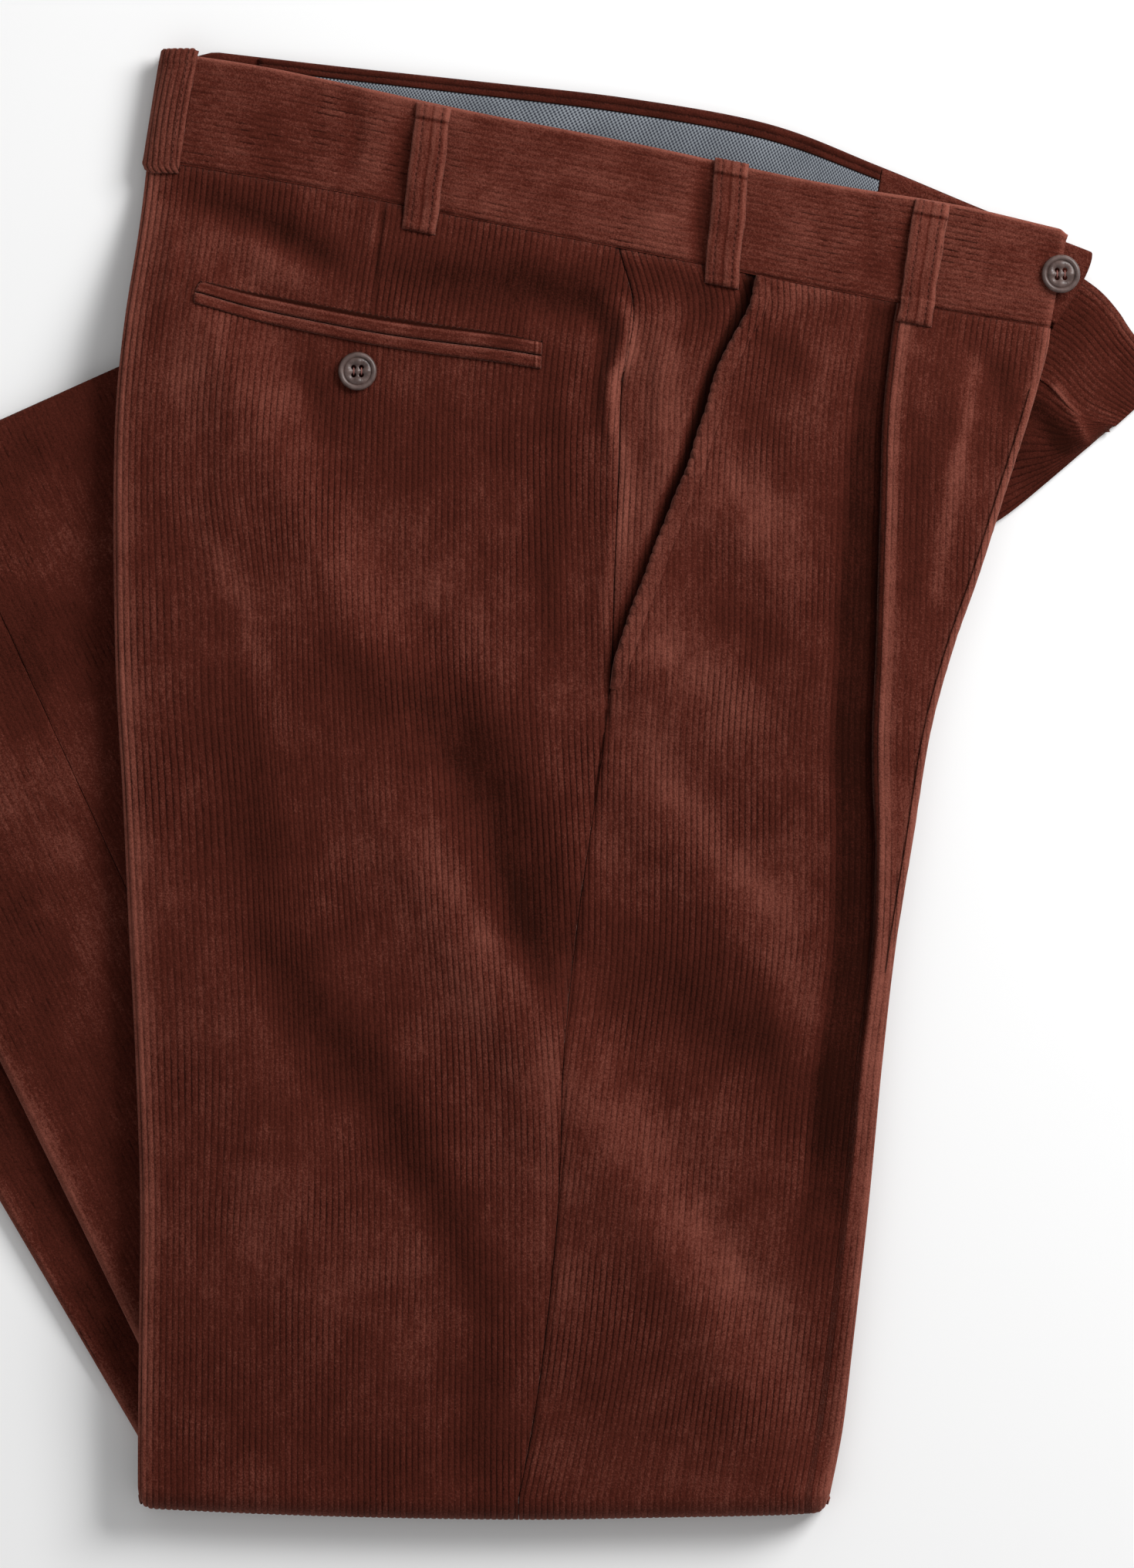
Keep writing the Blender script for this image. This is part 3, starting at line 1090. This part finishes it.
def horn():
    finish = Finish("button_horn")
    place = finish.node("TexCoord", output=3)
    cloud = finish.noise(place, 260.0, 4.0)
    finish.fill(finish.shader, {
        "Base Color": finish.mix(cloud.within(0.3, 0.75), HORN_DARK, HORN_LIGHT),
        "Roughness": 0.34 + cloud * 0.2,
    })
    finish.bump(cloud, 0.0001, 0.2)
    return finish.material


horn_finish = horn()
thread_finish = Finish("button_thread")
twist = thread_finish.noise(thread_finish.node("TexCoord", output=3), 3000.0)
thread_finish.fill(thread_finish.shader, {
    "Base Color": thread_finish.mix(twist, (0.10, 0.028, 0.022), (0.28, 0.10, 0.08)),
    "Roughness": 0.75,
})
thread_finish.bump(twist, 0.0001, 0.8)
for name, node in BUTTONS:
    low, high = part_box(node)
    centre = (low + high) / 2
    bm = bmesh.new()
    loops = [bmesh.ops.create_circle(bm, segments=48, radius=FACE_RADIUS * MM)["verts"]]
    for right, up in [(-1, -1), (1, -1), (1, 1), (-1, 1)]:
        ring = bmesh.ops.create_circle(bm, segments=14, radius=HOLE_RADIUS * MM)["verts"]
        hole = (right * HOLE_SPREAD * MM, up * HOLE_SPREAD * MM, 0)
        bmesh.ops.translate(bm, verts=ring, vec=hole)
        loops.append(ring)
    bmesh.ops.triangle_fill(bm, edges=bm.edges[:], use_beauty=True, normal=(0, 0, 1))
    face = bmesh.ops.extrude_face_region(bm, geom=bm.faces[:])["geom"]
    risen = [part for part in face if isinstance(part, bmesh.types.BMVert)]
    bmesh.ops.translate(bm, verts=risen, vec=(0, 0, FACE_DEPTH * MM))
    bmesh.ops.translate(bm, verts=bm.verts[:], vec=(0, 0, FACE_BASE * MM))
    rim = [bm.verts.new((r * MM, 0, z * MM)) for r, z in RIM_PROFILE]
    ring = [bm.edges.new((a, b)) for a, b in zip(rim, rim[1:] + rim[:1])]
    bmesh.ops.spin(
        bm, geom=rim + ring, cent=(0, 0, 0), axis=(0, 0, 1), angle=2 * np.pi, steps=48,
        use_merge=True,
    )
    bmesh.ops.remove_doubles(bm, verts=bm.verts[:], dist=1e-7)
    for right in (-HOLE_SPREAD, HOLE_SPREAD):
        before = set(bm.faces)
        ring = bmesh.ops.create_circle(bm, segments=8, radius=THREAD_RADIUS * MM)["verts"]
        bmesh.ops.translate(bm, verts=ring, vec=(right * MM, THREAD_ARC * MM, THREAD_BASE * MM))
        edges = list({edge for vert in ring for edge in vert.link_edges})
        bmesh.ops.spin(
            bm, geom=ring + edges, cent=(right * MM, 0, THREAD_BASE * MM), axis=(1, 0, 0),
            angle=np.pi, steps=12,
        )
        strand = [face for face in bm.faces if face not in before]
        over = list({vert for face in strand for vert in face.verts})
        bmesh.ops.scale(
            bm, verts=over, vec=(1, 1, 0.85),
            space=Matrix.Translation((0, 0, -THREAD_BASE * MM)),
        )
        for face in strand:
            face.material_index = 1
    bmesh.ops.holes_fill(bm, edges=bm.edges[:], sides=8)
    bmesh.ops.recalc_face_normals(bm, faces=bm.faces[:])
    bmesh.ops.translate(bm, verts=bm.verts[:], vec=(centre.x, centre.y, low.z))
    mesh = bpy.data.meshes.new(name)
    bm.to_mesh(mesh)
    bm.free()
    mesh.shade_smooth()
    mesh.materials.append(horn_finish)
    mesh.materials.append(thread_finish.material)
    button = bpy.data.objects.new(name, mesh)
    bpy.context.scene.collection.objects.link(button)
    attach(button, "root")
    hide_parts(node)

# The studio. A plain pale floor, a broad soft light from the upper right and a camera straight
# above, far enough off to show the garment as the photo does.
floor_finish = Finish("pale_floor")
floor_finish.fill(floor_finish.shader, {"Base Color": (0.9, 0.9, 0.9, 1), "Roughness": 0.9})
bm = bmesh.new()
bmesh.ops.create_grid(bm, x_segments=1, y_segments=1, size=6)
floor_mesh = bpy.data.meshes.new("floor")
bm.to_mesh(floor_mesh)
bm.free()
floor_mesh.materials.append(floor_finish.material)
floor = bpy.data.objects.new("floor", floor_mesh)
floor.location.z = -0.0004
bpy.context.scene.collection.objects.link(floor)

for name, energy, size, place in [
    ("key_light", 58, 1.1, (1.5, 1.15, 1.35)),
    ("fill_light", 4, 2.2, (-1.6, -1.2, 2.2)),
]:
    light = bpy.data.lights.new(name, "AREA")
    light.energy, light.size = energy, size
    lamp = bpy.data.objects.new(name, light)
    lamp.location = place
    lamp.rotation_mode = "QUATERNION"
    lamp.rotation_quaternion = lamp.location.to_track_quat("Z", "Y")
    bpy.context.scene.collection.objects.link(lamp)
world = bpy.data.worlds.new("studio")
world.use_nodes = True
world.node_tree.nodes["Background"].inputs["Color"].default_value = (1, 1, 1, 1)
world.node_tree.nodes["Background"].inputs["Strength"].default_value = 0.42
bpy.context.scene.world = world
bpy.context.scene.view_settings.view_transform = "Standard"

FRAME_HEIGHT, LENS, SENSOR, FOCUS_HEIGHT = 0.6506, 250, 36, 0.015
camera_data = bpy.data.cameras.new("camera")
camera_data.lens, camera_data.sensor_width = LENS, SENSOR
camera = bpy.data.objects.new("camera", camera_data)
camera.location = (0.0629, -0.0003, FRAME_HEIGHT / SENSOR * LENS + FOCUS_HEIGHT)
bpy.context.scene.collection.objects.link(camera)
bpy.context.scene.camera = camera
